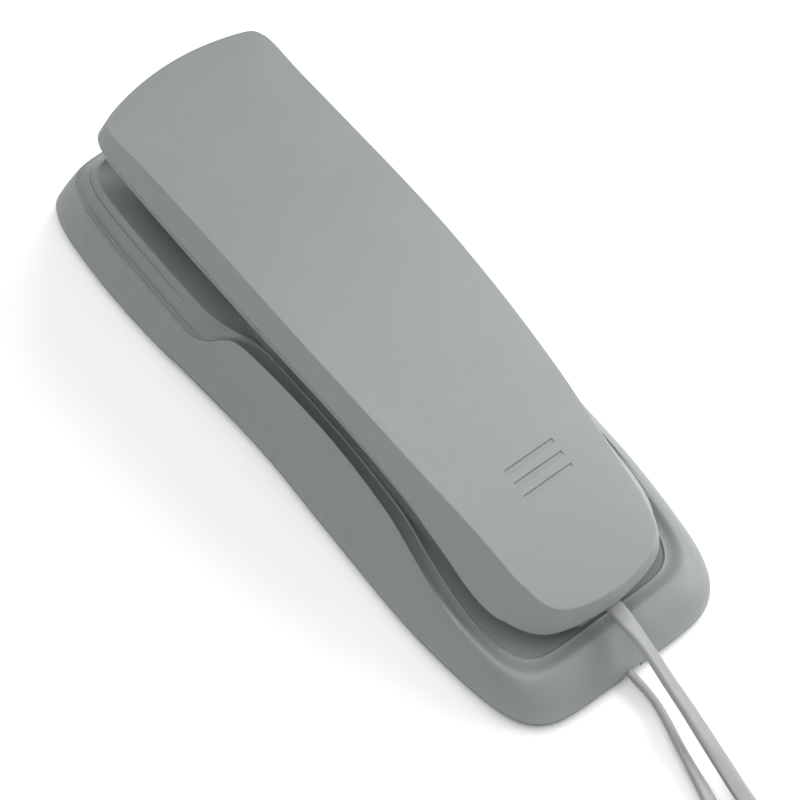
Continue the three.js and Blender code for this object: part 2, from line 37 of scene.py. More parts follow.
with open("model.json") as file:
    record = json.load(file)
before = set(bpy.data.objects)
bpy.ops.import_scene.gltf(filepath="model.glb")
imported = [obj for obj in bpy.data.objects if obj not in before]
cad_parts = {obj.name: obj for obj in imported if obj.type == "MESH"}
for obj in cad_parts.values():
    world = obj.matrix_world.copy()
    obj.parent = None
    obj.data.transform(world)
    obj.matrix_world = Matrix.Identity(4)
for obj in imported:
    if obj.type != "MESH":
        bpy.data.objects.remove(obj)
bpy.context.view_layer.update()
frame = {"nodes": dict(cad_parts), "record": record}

MM = 0.001
BASE_END = 110
FOOT_HEIGHT = 1.5
COVER_TOP = 3.7
SEAM_GAP = 0.3
SHELL_BOTTOM = COVER_TOP + SEAM_GAP
WALL = 2.2
CROWN = 1.5
FACE_DROP = 1.2
CORD_WIDTH = 4.6
CORD_THICKNESS = 2.4
DIP_DEPTH = 0.12
DIP_WIDTH = 0.5
CURL_DIAMETER = 12.5
CURL_SPACING = 17
CURL_PITCH = 4.9
BEND_PITCH = 11.5
SIDE_STEPS = 150
END_STEPS = 44
SHRINK_ALONG = 0.35
ROUNDING_STEPS = 5
LONGEST_ROUNDING = 0.48
SHARP_DEGREES = 60
CUT_SHARP_DEGREES = 50

UP = np.array([0, 0, 1.0])

# The camera's direction in degrees, and its distances in metres.
CAMERA_AZIMUTH = -37.94
CAMERA_ELEVATION = 60
CAMERA_DISTANCE = 0.8
CAMERA_LENS = 129.89
CAMERA_SHIFT = (0.02575, -0.0515)
LOOK_AT = Vector((0, 0, 0.02))

PHONE_GREY = (0.205, 0.225, 0.223)
CORD_GREY = (0.255, 0.263, 0.251)


# ---------------------------------------------------------------- camera

def make_camera():
    """The camera, above the telephone, to its left and towards its mouthpiece end."""
    azimuth = math.radians(CAMERA_AZIMUTH)
    elevation = math.radians(CAMERA_ELEVATION)
    level = math.cos(elevation)
    back = Vector((math.sin(azimuth) * level, -math.cos(azimuth) * level, math.sin(elevation)))
    data = bpy.data.cameras.new("camera")
    data.lens = CAMERA_LENS
    data.sensor_width = 36
    data.shift_x, data.shift_y = CAMERA_SHIFT
    data.clip_start = 0.01
    data.clip_end = 20
    camera = bpy.data.objects.new("camera", data)
    camera.location = LOOK_AT + back * CAMERA_DISTANCE
    camera.rotation_mode = "QUATERNION"
    camera.rotation_quaternion = (-back).to_track_quat("-Z", "Y")
    bpy.context.collection.objects.link(camera)
    bpy.context.scene.camera = camera


# ---------------------------------------------------------------- meshes

def mesh_object(name, points, faces, material):
    """A smooth-shaded mesh object from points in millimetres."""
    mesh = bpy.data.meshes.new(name)
    mesh.from_pydata((np.asarray(points, float) * MM).tolist(), [], faces)
    mesh.materials.append(material)
    mesh.shade_smooth()
    mesh.set_sharp_from_angle(angle=math.radians(SHARP_DEGREES))
    piece = bpy.data.objects.new(name, mesh)
    bpy.context.collection.objects.link(piece)
    return piece


def ring_faces(rings, count):
    """The quads between rings of count points each."""
    faces = []
    for k in range(rings - 1):
        for i in range(count):
            a = k * count + i
            b = k * count + (i + 1) % count
            faces.append((a, b, b + count, a + count))
    return faces


def through(*stations):
    """A smooth function through [y, value] stations, level beyond the first and the last."""
    ys = np.array([s[0] for s in stations], float)
    values = np.array([s[1] for s in stations], float)
    before = np.maximum(np.arange(len(ys)) - 1, 0)
    after = np.minimum(np.arange(len(ys)) + 1, len(ys) - 1)
    slopes = (values[after] - values[before]) / (ys[after] - ys[before])

    def value(y):
        y = np.clip(np.asarray(y, float), ys[0], ys[-1])
        i = np.clip(np.searchsorted(ys, y, side="right") - 1, 0, len(ys) - 2)
        span = ys[i + 1] - ys[i]
        t = (y - ys[i]) / span
        rise = t * t * (3 - 2 * t)
        bend = span * t * (1 - t) * (slopes[i] * (1 - t) - slopes[i + 1] * t)
        return values[i] + (values[i + 1] - values[i]) * rise + bend
    return value


def smooth(y, start, end):
    """0 before start, 1 after end, and a smooth rise between them."""
    t = np.clip((np.asarray(y, float) - start) / (end - start), 0, 1)
    return t * t * (3 - 2 * t)


# Heights and half widths along the telephone. The cradle, its walls and its line are softer here than in the
# CAD part, inside the same outline.
base_width = through([-110, 38.6], [-85, 39], [-60, 39.8], [-25, 39], [5, 38.3], [35, 40], [52, 41.4],
                     [72, 41.9], [95, 41.2], [110, 40.4])
edge_width = through([-103, 33.8], [-90, 33.5], [-68, 33], [-55, 31.8], [-42, 30.4], [-20, 30], [0, 30.6],
                     [18, 31.8], [25, 32.8], [33, 35.8], [40, 36.4], [80, 36.2], [103, 36])
edge_height = through([-103, 16.6], [-90, 17.4], [-80, 18.8], [-68, 21.4], [-55, 25], [-42, 28.6],
                      [-20, 32.5], [0, 33.6], [18, 33.4], [24, 31.8], [31, 25.4], [37, 22.6], [103, 21.6])
wall_bulge = through([-103, 2.2], [-75, 1.9], [-40, 1.7], [103, 1.5])
line_width = through([-97, 29], [-78, 29.4], [-57, 27.2], [-40, 25.1], [12, 25.2], [22, 26.2], [32, 30],
                     [40, 31.4], [97, 31.6])
line_height = through([-97, 15.5], [-85, 15.8], [-65, 18.5], [-45, 22], [-20, 25.4], [20, 26.4], [40, 27.6],
                      [97, 27.8])
floor_height = through([-97, 13.4], [-65, 15], [-40, 17.6], [-20, 20], [20, 20.2], [40, 21.6], [97, 21.6])
cradle_slope = through([-97, 6.6], [-62, 6.3], [-48, 2.8], [-38, 1.2], [18, 0.8], [38, 9.6], [97, 9.6])
ridge_width = through([-100, 22.6], [-75, 21.8], [-45, 24.2], [-20, 25.6], [10, 26.5], [70, 26.6], [84, 27.2],
                      [96, 27.4])
ridge_height = through([-100, 38.4], [-85, 43], [-60, 49.3], [-45, 52.3], [-20, 55.7], [12, 57.5], [50, 56.8],
                       [96, 54.6])
seam_width = through([-100, 25], [-80, 28.2], [-62, 27.7], [-45, 27.6], [-20, 28.6], [20, 29.9], [60, 30.1],
                     [98, 29.4])
seam_height = through([-100, 26.6], [-90, 26.9], [-80, 28.2], [-62, 33.6], [-45, 39.8], [-20, 45.4],
                      [10, 47.2], [50, 47.5], [98, 46.8])
face_height = through([-100, 25], [-90, 25.3], [-80, 26.6], [-62, 30.7], [-45, 35.6], [-20, 40.6], [10, 42.2],
                      [50, 42.5], [98, 42])


def floor_width(y):
    """Half the width of the cradle's floor."""
    return line_width(y) - cradle_slope(y)


def face_out(y):
    """The height of the handset's inner face, which points down."""
    return face_height(y) - FACE_DROP


def square_points():
    """Points round a unit square, anticlockwise from above, that crowd towards the corners."""
    def along(steps, crowding):
        s = -1 + 2 * np.arange(steps) / steps
        return s * (1 - crowding) + np.sin(s * math.pi / 2) * crowding
    ends = along(END_STEPS, 1)
    sides = along(SIDE_STEPS, 0.65)
    u = np.concatenate([ends, np.ones(SIDE_STEPS), -ends, -np.ones(SIDE_STEPS)])
    v = np.concatenate([-np.ones(END_STEPS), sides, np.ones(END_STEPS), -sides])
    return u, v


SQUARE_U, SQUARE_V = square_points()
LOOP_COUNT = len(SQUARE_U)


def loop(mic, ear, width, height, mic_power, ear_power, bow=0, inset=0, scale=1):
    """A closed loop round the telephone: a superellipse in plan, squarer where its power is higher.

    The bow rounds its ends and the inset moves it inwards. A scale under 1 shrinks it, more across than
    along.
    """
    power = np.where(SQUARE_V < 0, mic_power, ear_power)
    pull = (np.abs(SQUARE_U) ** power + np.abs(SQUARE_V) ** power) ** (-1 / power)
    middle = (mic + ear) / 2
    reach = (ear - mic) / 2 - inset
    y = middle + reach * pull * SQUARE_V * (1 - (1 - scale) * SHRINK_ALONG)
    y = y - np.sign(SQUARE_V) * bow * SQUARE_U ** 2 * SQUARE_V ** 4
    x = pull * SQUARE_U * (width(y) - inset) * scale
    return np.column_stack([x, y, height(y)])


def shifted(height, amount):
    """A height function raised by an amount."""
    return lambda y: height(y) + amount


def shortened(sides, rounding):
    """The shares of the sides that a rounding takes up, never as much as half."""
    lengths = np.linalg.norm(sides, axis=1)
    return (np.minimum(rounding, LONGEST_ROUNDING * lengths) / (lengths + 1e-9))[:, None]


def rounded(corners):
    """Rings through (loop, rounding) pairs. A rounded loop becomes a bend between its neighbours."""
    rings = []
    for k, (points, rounding) in enumerate(corners):
        if k in (0, len(corners) - 1) or np.max(rounding) == 0:
            rings.append(points)
            continue
        back = corners[k - 1][0] - points
        ahead = corners[k + 1][0] - points
        start, end = (points + side * shortened(side, rounding) for side in (back, ahead))
        for t in np.linspace(0, 1, ROUNDING_STEPS + 1):
            rings.append((1 - t) ** 2 * start + 2 * t * (1 - t) * points + t * t * end)
    return rings


def rungs():
    """The faces across a loop: four-sided ones between its long sides, and a fan over each end."""
    faces = []
    for j in range(SIDE_STEPS):
        right = END_STEPS + j
        left = LOOP_COUNT - j
        faces.append((right, right + 1, left - 1, left % LOOP_COUNT))
    for start in (0, END_STEPS + SIDE_STEPS):
        faces += [(start, start + i, start + i + 1) for i in range(1, END_STEPS)]
    return faces


def lofted(rings):
    """Points and faces of a body through its rings, closed across its first and last ring."""
    last = (len(rings) - 1) * LOOP_COUNT
    faces = ring_faces(len(rings), LOOP_COUNT)
    faces += [rung[::-1] for rung in rungs()]
    faces += [tuple(last + corner for corner in rung) for rung in rungs()]
    return np.concatenate(rings), faces


# ---------------------------------------------------------------- joining and cutting

def bare_object(points, faces):
    """An object without a material, for joining or cutting."""
    mesh = bpy.data.meshes.new("tool")
    mesh.from_pydata((np.asarray(points, float) * MM).tolist(), [], faces)
    tool = bpy.data.objects.new("tool", mesh)
    bpy.context.collection.objects.link(tool)
    return tool


def block(low, high):
    """A box between two corners."""
    points = [(x, y, z) for z in (low[2], high[2]) for y in (low[1], high[1]) for x in (low[0], high[0])]
    faces = [(0, 2, 3, 1), (4, 5, 7, 6), (0, 1, 5, 4), (2, 6, 7, 3), (0, 4, 6, 2), (1, 3, 7, 5)]
    return bare_object(points, faces)


def upright(low_outline, high_outline, low, high):
    """A solid between two outlines of equal length at two heights."""
    count = len(low_outline)
    points = [(x, y, low) for x, y in low_outline] + [(x, y, high) for x, y in high_outline]
    faces = ring_faces(2, count)
    faces += [tuple(range(count))[::-1], tuple(range(count, 2 * count))]
    return bare_object(points, faces)


def post(x, y, low, high, radius, top_radius=None, sides=48):
    """An upright round bar, or a cone where the top radius differs."""
    angles = 2 * math.pi * np.arange(sides) / sides
    low_outline, high_outline = ([(x + r * math.cos(a), y + r * math.sin(a)) for a in angles]
                                 for r in (radius, top_radius or radius))
    return upright(low_outline, high_outline, low, high)


def rounded_block(x, y, low, high, width, length, radius, steps=8):
    """A box with rounded upright edges."""
    outline = []
    for corner, (sx, sy) in enumerate(((1, 1), (-1, 1), (-1, -1), (1, -1))):
        for step in range(steps + 1):
            angle = (corner + step / steps) * math.pi / 2
            outline.append((x + sx * (width / 2 - radius) + radius * math.cos(angle),
                            y + sy * (length / 2 - radius) + radius * math.sin(angle)))
    return upright(outline, outline, low, high)


def shaped(piece, joined=(), cut=(), sharp_degrees=CUT_SHARP_DEGREES):
    """Join tools onto a piece and cut others away, then put the result in the piece's mesh."""
    tools = [(tool, "UNION") for tool in joined] + [(tool, "DIFFERENCE") for tool in cut]
    for tool, operation in tools:
        modifier = piece.modifiers.new("shape", "BOOLEAN")
        modifier.operation = operation
        modifier.solver = "EXACT"
        modifier.object = tool
    view = bpy.context.evaluated_depsgraph_get()
    mesh = bpy.data.meshes.new_from_object(piece.evaluated_get(view))
    piece.modifiers.clear()
    piece.data = mesh
    mesh.shade_smooth()
    mesh.set_sharp_from_angle(angle=math.radians(sharp_degrees))
    for tool, _ in tools:
        bpy.data.objects.remove(tool, do_unlink=True)


# ---------------------------------------------------------------- materials

# Nearly all noise values lie between these two.
NOISE_LOW = 0.3
NOISE_HIGH = 0.7


class Nodes:
    """A small helper that adds and joins shader nodes."""

    def __init__(self, name):
        self.material = bpy.data.materials.new(name)
        self.material.use_nodes = True
        self.tree = self.material.node_tree
        self.shader = self.tree.nodes["Principled BSDF"]

    def node(self, kind, inputs=()):
        """A new node. Each input is a plain value, or another node's output to join it to."""
        node = self.tree.nodes.new(kind)
        for key, value in dict(inputs).items():
            if isinstance(value, bpy.types.NodeSocket):
                self.tree.links.new(value, node.inputs[key])
            else:
                node.inputs[key].default_value = value
        return node

    def noise(self, scale, detail):
        """Noise in the piece's own space. A higher scale is finer."""
        place = self.node("ShaderNodeTexCoord").outputs["Object"]
        inputs = {"Vector": place, "Scale": scale, "Detail": detail, "Roughness": 0.55}
        return self.node("ShaderNodeTexNoise", inputs).outputs["Fac"]

    def spread(self, value, low, high):
        """The middle range of a noise spread between two numbers."""
        inputs = {"Value": value, "From Min": NOISE_LOW, "From Max": NOISE_HIGH}
        inputs.update({"To Min": low, "To Max": high})
        return self.node("ShaderNodeMapRange", inputs).outputs["Result"]

    def tint(self, colour, value, amount):
        """A colour made lighter and darker by a share of itself."""
        low = [c * (1 - amount) for c in colour] + [1]
        high = [c * (1 + amount) for c in colour] + [1]
        ramp = self.node("ShaderNodeValToRGB", {"Fac": value})
        for element, position, shade in zip(ramp.color_ramp.elements, (NOISE_LOW, NOISE_HIGH), (low, high)):
            element.position = position
            element.color = shade
        return ramp.outputs["Color"]

    def bump(self, height, distance, strength):
        """Relief in the surface, up to a distance in metres."""
        bump = self.node("ShaderNodeBump", {"Height": height, "Distance": distance, "Strength": strength})
        self.tree.links.new(bump.outputs["Normal"], self.shader.inputs["Normal"])

    def link(self, output, socket):
        """Join a node's output to the surface shader."""
        self.tree.links.new(output, self.shader.inputs[socket])

    def set(self, socket, value):
        """Give one of the surface shader's inputs an even value."""
        self.shader.inputs[socket].default_value = value


def moulded_plastic(name, colour, roughness):
    """Satin moulded plastic: a fine spark-eroded grain, faint flow mottling and uneven sheen."""
    n = Nodes(name)
    n.link(n.tint(colour, n.noise(55, 3), 0.018), "Base Color")
    n.link(n.spread(n.noise(320, 4), roughness - 0.05, roughness + 0.06), "Roughness")
    n.bump(n.noise(2600, 2), 0.00006, 0.5)
    n.set("IOR", 1.5)
    return n.material


def vinyl(name, colour):
    """Soft cord vinyl, a little uneven along its length."""
    n = Nodes(name)
    n.link(n.tint(colour, n.noise(130, 3), 0.05), "Base Color")
    n.link(n.spread(n.noise(500, 3), 0.36, 0.5), "Roughness")
    n.bump(n.noise(1500, 2), 0.00008, 0.35)
    return n.material


def rubber(name, colour):
    """Dull rubber with a dusty, uneven surface."""
    n = Nodes(name)
    n.link(n.tint(colour, n.noise(200, 4), 0.15), "Base Color")
    n.link(n.spread(n.noise(900, 3), 0.7, 0.88), "Roughness")
    n.bump(n.noise(1800, 3), 0.0001, 0.5)
    return n.material


def metal(name, colour, roughness):
    """Plated steel with fine, uneven scuffs."""
    n = Nodes(name)
    n.set("Metallic", 1.0)
    n.link(n.tint(colour, n.noise(300, 4), 0.06), "Base Color")
    n.link(n.spread(n.noise(1200, 4), roughness - 0.08, roughness + 0.1), "Roughness")
    n.bump(n.noise(2500, 3), 0.00003, 0.4)
    return n.material


def board(name):
    """A circuit board's solder resist with faint track relief."""
    n = Nodes(name)
    place = n.node("ShaderNodeTexCoord").outputs["Object"]
    bricks = n.node("ShaderNodeTexBrick", {"Vector": place, "Scale": 160.0, "Mortar Size": 0.03})
    tracks = bricks.outputs["Fac"]
    n.link(n.tint((0.02, 0.11, 0.045), tracks, 0.35), "Base Color")
    n.set("Roughness", 0.32)
    n.bump(tracks, 0.00004, 0.6)
    return n.material


def clear_plastic(name):
    """The clear moulding of a modular plug."""
    n = Nodes(name)
    n.link(n.tint((0.86, 0.89, 0.9), n.noise(150, 2), 0.03), "Base Color")
    n.link(n.spread(n.noise(600, 2), 0.08, 0.16), "Roughness")
    n.set("Transmission Weight", 0.85)
    n.set("IOR", 1.5)
    return n.material


# ---------------------------------------------------------------- lines along the cord

def curve_points(route, spacing):
    """Points about spacing apart on a smooth centripetal curve through a route."""
    route = np.asarray(route, float)
    padded = np.vstack([2 * route[0] - route[1], route, 2 * route[-1] - route[-2]])
    result = []
    for i in range(len(route) - 1):
        p0, p1, p2, p3 = padded[i:i + 4]
        t1 = np.linalg.norm(p1 - p0) ** 0.5
        t2 = t1 + np.linalg.norm(p2 - p1) ** 0.5
        t3 = t2 + np.linalg.norm(p3 - p2) ** 0.5
        steps = max(2, int(round(np.linalg.norm(p2 - p1) / spacing)))
        for t in t1 + (t2 - t1) * np.arange(steps) / steps:
            a1 = p0 + (p1 - p0) * t / t1
            a2 = p1 + (p2 - p1) * (t - t1) / (t2 - t1)
            a3 = p2 + (p3 - p2) * (t - t2) / (t3 - t2)
            b1 = a1 + (a2 - a1) * t / t2
            b2 = a2 + (a3 - a2) * (t - t1) / (t3 - t1)
            result.append(b1 + (b2 - b1) * (t - t1) / (t2 - t1))
    result.append(route[-1])
    return np.array(result)


def flat_section(sides):
    """The flat cord's section: rounded edges, and a slight dip down the middle of each flat side."""
    angle = (np.arange(sides) + 0.5) * 2 * math.pi / sides
    across = np.sign(np.cos(angle)) * np.abs(np.cos(angle)) ** 0.75 * CORD_WIDTH / 2
    thick = np.sign(np.sin(angle)) * np.abs(np.sin(angle)) ** 0.6 * CORD_THICKNESS / 2
    thick = thick * (1 - DIP_DEPTH * np.exp(-(across / DIP_WIDTH) ** 2))
    return across, thick


def cord_mesh(name, line, wide, thin, material, sides):
    """A flat cord swept along a line. wide and thin are the unit directions of its section at each point."""
    across, thick = flat_section(sides)
    points = line[:, None] + wide[:, None] * across[None, :, None] + thin[:, None] * thick[None, :, None]
    faces = ring_faces(len(line), sides)
    faces.append(tuple(range(sides))[::-1])
    faces.append(tuple(range((len(line) - 1) * sides, len(line) * sides)))
    return mesh_object(name, points.reshape(-1, 3), faces, material)


def unit(directions):
    """Directions made one long. Those without a length stay zero."""
    return directions / (np.linalg.norm(directions, axis=1)[:, None] + 1e-9)


def cross_directions(line, roll_degrees):
    """The section's directions along a line: level across, then rolled about the line."""
    along = unit(np.gradient(line, axis=0))
    level = unit(np.cross(along, UP))
    raised = np.cross(level, along)
    roll = np.radians(roll_degrees)[:, None]
    wide = np.cos(roll) * level + np.sin(roll) * raised
    thin = np.cos(roll) * raised - np.sin(roll) * level
    return wide, thin


# ---------------------------------------------------------------- the handset cord

ROUTE_SPACING = 1.5
AXIS_STEP = 0.5
POINTS_PER_TURN = 18
PITCH_BLUR = 7
GROWING_TURNS = 1.6
FLAT_HEIGHT = CORD_THICKNESS / 2 + 0.1
CURL_HEIGHT = CURL_DIAMETER / 2 + 1.1
RUNS_NEAR = -214
RUNS_LENGTH = 84
RUN_X = [step * CURL_SPACING for step in (-1.5, -0.5, 0.5, 1.5)]

HANDSET_LEAD_ROUTE = [
    [0.6, -95.3, 23.4], [1.2, -99.5, 23.5], [1.2, -104, 23.1], [1.2, -109, 22], [1.2, -115, 19.5],
    [1.2, -122, 15.8], [1.4, -129, 12], [1.3, -137, 8], [0.8, -145, 5.2], [0, -154, 3], [-0.5, -162, 1.8],
    [0.4, -170, FLAT_HEIGHT], [4, -178, FLAT_HEIGHT], [10.5, -186, 1.5], [17.2, -193.5, 2.4],
    [22.2, -200.5, 4.2], [24.9, -207, 6.3], [25.5, -213.7, CURL_HEIGHT],
]
BASE_LEAD_ROUTE = [
    [0, -103.9, 3.4], [-0.5, -107, 3.2], [-0.8, -111, 3], [-0.6, -116, 2.8], [-0.9, -121, 2.7],
    [-2, -126.5, 2.65], [-3.6, -132.5, 2.6], [-5.4, -140, 2.5], [-7.5, -149, 2.3], [-10.2, -158, 1.9],
    [-13.6, -167, 1.5], [-17.2, -177, 1.5], [-20.4, -186, 1.9], [-23.2, -195, 3.2], [-24.9, -204, 5.4],
    [-25.5, -213.7, CURL_HEIGHT],
]
# How far the cord is turned onto its edge along the way, in degrees.
handset_roll = through([-150, 0], [-128, 26], [-110, 34], [-103, 0])
base_roll = through([-176, 0], [-160, 14], [-140, 58], [-122, 72])


def handset_lead(material):
    """The straight end of the cord that leaves the handset."""
    line = curve_points(HANDSET_LEAD_ROUTE, ROUTE_SPACING)
    wide, thin = cross_directions(line, handset_roll(line[:, 1]))
    lead = cord_mesh("handset_lead_cord", line, wide, thin, material, 20)
    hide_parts("handset_lead")
    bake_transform(lead)


def curl_axis():
    """Points along the middle of the curly part, and how far the curls are apart at each."""
    far = RUNS_NEAR - RUNS_LENGTH
    radius = CURL_SPACING / 2
    points = []
    pitches = []
    for i, x in enumerate(reversed(RUN_X)):
        start, end = (far, RUNS_NEAR) if i % 2 else (RUNS_NEAR, far)
        for t in np.arange(0, 1, AXIS_STEP / RUNS_LENGTH):
            points.append((x, start + (end - start) * t, CURL_HEIGHT))
            pitches.append(CURL_PITCH)
        if i < len(RUN_X) - 1:
            side = 1 if i % 2 else -1
            for t in np.arange(0, 1, AXIS_STEP / (math.pi * radius)):
                turn = math.pi * t
                points.append((x - radius + radius * math.cos(turn), end + side * radius * math.sin(turn),
                               CURL_HEIGHT))
                pitches.append(BEND_PITCH)
    return np.array(points), np.array(pitches)


def curls():
    """The line of the curls: a helix round the folded axis that opens out on the bends.

    Also its directions along the axis, and how far it has grown from the straight ends to its full radius.
    """
    axis, pitches = curl_axis()
    kernel = np.hanning(2 * PITCH_BLUR + 1)
    pitches = np.convolve(np.pad(pitches, PITCH_BLUR, mode="edge"), kernel / kernel.sum(), mode="valid")
    reach = np.concatenate([[0], np.cumsum(np.linalg.norm(np.diff(axis, axis=0), axis=1))])
    turns = np.concatenate([[0], np.cumsum(np.diff(reach) / pitches[1:])])
    wanted = np.arange(0, turns[-1], 1 / POINTS_PER_TURN)
    at = np.interp(wanted, turns, reach)
    centre = np.column_stack([np.interp(at, reach, axis[:, k]) for k in range(3)])
    along = unit(np.gradient(centre, axis=0))
    angle = -math.pi / 2 + 2 * math.pi * wanted
    out = np.cross(along, UP) * np.cos(angle)[:, None] + UP * np.sin(angle)[:, None]
    radius = (CURL_DIAMETER - CORD_THICKNESS) / 2
    grow = smooth(np.minimum(wanted, turns[-1] - wanted), 0, GROWING_TURNS)[:, None]
    return centre + out * radius * grow, along, grow


def curly_cord(material):
    """The rest of the cord: its straight end from the base, then the curls, which meet the handset's end."""
    curl_line, along, grow = curls()
    lead = curve_points(BASE_LEAD_ROUTE, ROUTE_SPACING)
    lead_wide, _ = cross_directions(lead, base_roll(lead[:, 1]))
    line = np.vstack([lead[:-1], curl_line[::-1]])
    tangent = unit(np.gradient(line, axis=0))
    level = unit(np.cross(tangent, UP))[len(lead) - 1:]
    curl_wide = along[::-1] * grow[::-1] + level * (1 - grow[::-1])
    wide = np.vstack([lead_wide[:-1], curl_wide])
    wide = unit(wide - tangent * np.sum(wide * tangent, axis=1)[:, None])
    cord = cord_mesh("curly_handset_cord", line, wide, np.cross(wide, tangent), material, 12)
    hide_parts("base_lead", "curly_cord")
    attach(cord, "base")


# ---------------------------------------------------------------- the base

BASE_POWERS = (6.6, 12)
MIC_LEAN = 8.6
EAR_LEAN = 7
LINE_FORM = {"mic_power": 8, "ear_power": 12, "mic": -96.5, "ear": 97}
FLOOR_FORM = {"mic_power": 6, "ear_power": 9, "mic": -91, "ear": 97}
PLUNGER_Y = 43
HOOK_REST_Y = 66
EAR_CENTRE = 70
EAR_BOSS_DEPTH = 3.8
RINGER_SLOT = (37.5, -8, 12)
SCREW_POSTS = ((-26, -70), (26, -70), (-30, 84), (30, 84))
KEYHOLES = (-46, 52)
CORD_NOTCH = 3.2
FIT_GAP = 0.4


def wall_loop(fraction, inset=0):
    """A level of the outer wall, from 0 at its foot to 1 at its rim."""
    def width(y):
        return base_width(y) + (edge_width(y) - base_width(y)) * fraction ** wall_bulge(y)

    def height(y):
        return SHELL_BOTTOM + (edge_height(y) - SHELL_BOTTOM) * fraction
    mic_power, ear_power = BASE_POWERS
    mic = -BASE_END + MIC_LEAN * fraction ** 2
    ear = BASE_END - EAR_LEAN * fraction
    return loop(mic=mic, ear=ear, width=width, height=height, inset=inset, mic_power=mic_power + fraction,
                ear_power=ear_power)


def line_loop(inset, lift=0):
    """A loop along the fine line round the cradle."""
    return loop(width=line_width, height=shifted(line_height, lift), inset=inset, **LINE_FORM)


def floor_loop(inset, lift=0):
    """A loop round the cradle's floor."""
    return loop(width=floor_width, height=shifted(floor_height, lift), inset=inset, **FLOOR_FORM)


def inside_and_foot():
    """The shell's hollow underside, its foot and the lower part of its outer wall."""
    heel = wall_loop(0) + UP * 0.35
    rings = [
        floor_loop(-1.4, -WALL),
        line_loop(-1.9, -2.4),
        wall_loop(0.84, WALL - 0.4),
        wall_loop(0.5, WALL),
        wall_loop(0, WALL),
        wall_loop(0, 0.3),
        heel,
    ]
    rings += [wall_loop(fraction) for fraction in np.linspace(0.06, 0.6, 7)]
    return [(ring, 0) for ring in rings]


def wall_top_and_dish():
    """The top of the wall and the dished band inside it, as far as the fine line.

    The wall ends in a crest and a groove beside the earpiece, in a crisp edge along the middle, and in one
    broad roll round the mouthpiece.
    """
    rim = wall_loop(1)
    line = line_loop(0)
    earpiece = smooth(rim[:, 1], 27, 38)[:, None]
    mouthpiece = 1 - smooth(rim[:, 1], -78, -50)[:, None]
    middle = 1 - earpiece - mouthpiece
    fading = 1 - smooth(rim[:, 1], 84, 103)[:, None]
    outward = wall_loop(1, -1) - rim
    inward = line - rim
    ledge = rim - outward * 1.2 + UP * 0.6
    shoulder = rim + inward * 0.28 - UP * 0.8
    grooved = [
        (wall_loop(0.78), 0),
        (wall_loop(0.9), 0),
        (rim + outward * 1.4 * fading - UP * 0.4, 0.9),
        (rim - UP * (0.2 + 1.1 * fading), 0.5),
        (ledge, 0.5),
    ]
    crisp = [
        (wall_loop(0.75), 0),
        (wall_loop(0.9), 0),
        (rim, 0.45),
        (rim + inward * 0.12 - UP * 0.45, 0.3),
        (shoulder, 0.3),
    ]
    roll_start = wall_loop(0.6)
    roll_peak = rim + UP * 1.1
    roll_end = rim + inward * 0.42
    roll_end[:, 2] = line[:, 2] + 0.35
    corners = []
    roll_shares = (0.17, 0.34, 0.5, 0.67, 0.84)
    for t, (groove, groove_rounding), (edge, edge_rounding) in zip(roll_shares, grooved, crisp):
        roll = (1 - t) ** 2 * roll_start + 2 * t * (1 - t) * roll_peak + t * t * roll_end
        rounding = groove_rounding * earpiece + edge_rounding * middle
        corners.append((groove * earpiece + edge * middle + roll * mouthpiece, rounding[:, 0]))
    inner = ledge * earpiece + shoulder * middle + roll_end * mouthpiece
    for share in (0.2, 0.45, 0.7):
        sag = math.sin(math.pi * share) * (0.5 * middle + 0.15 * mouthpiece)
        corners.append((inner + (line - inner) * share - UP * sag, 0))
    beaded = (1 - smooth(line[:, 1], 12, 28))[:, None]
    corners += [
        (line_loop(-0.45) * beaded + (inner * 0.1 + line * 0.9) * (1 - beaded), 0),
        (line_loop(-0.1) + UP * 0.4 * beaded, 0.3),
    ]
    return corners


def base_shell(material):
    """The base's top shell: its wall, dished band, fine line and cradle, and the rest for the handset."""
    corners = inside_and_foot() + wall_top_and_dish() + [
        (line_loop(0.35, -0.1), 0.1),
        (floor_loop(0.9), 2.5),
        (floor_loop(6), 0),
    ]
    points, faces = lofted(rounded(corners))
    shell = mesh_object("base_shell", points, faces, material)

    rest_top = float(face_out(HOOK_REST_Y)) - FIT_GAP
    cup_floor = float(face_out(EAR_CENTRE)) - EAR_BOSS_DEPTH - FIT_GAP
    slot_x, slot_y, slot_z = RINGER_SLOT
    rest = rounded_block(0, HOOK_REST_Y, 19, rest_top - 0.6, 34, 30, 5)
    rest_cap = rounded_block(0, HOOK_REST_Y, rest_top - 0.7, rest_top, 33, 29, 4.5)
    plunger_bore = post(0, PLUNGER_Y, 10, 50, 4.4)
    ear_cup = post(0, EAR_CENTRE, cup_floor, 60, 13, 13.4)
    rest_hollow = block((-15, HOOK_REST_Y - 13, 12), (15, HOOK_REST_Y + 13, cup_floor - 2))
    ringer_slot = block((slot_x - 8, slot_y - 5, slot_z - 1.5), (slot_x + 8, slot_y + 5, slot_z + 1.5))
    cord_notch = block((-CORD_NOTCH, -BASE_END - 2, 0), (CORD_NOTCH, -98, SHELL_BOTTOM + 0.8))
    shaped(shell, [rest, rest_cap], [plunger_bore, ear_cup, rest_hollow, ringer_slot, cord_notch])
    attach(shell, "base")
    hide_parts("base_top_shell")


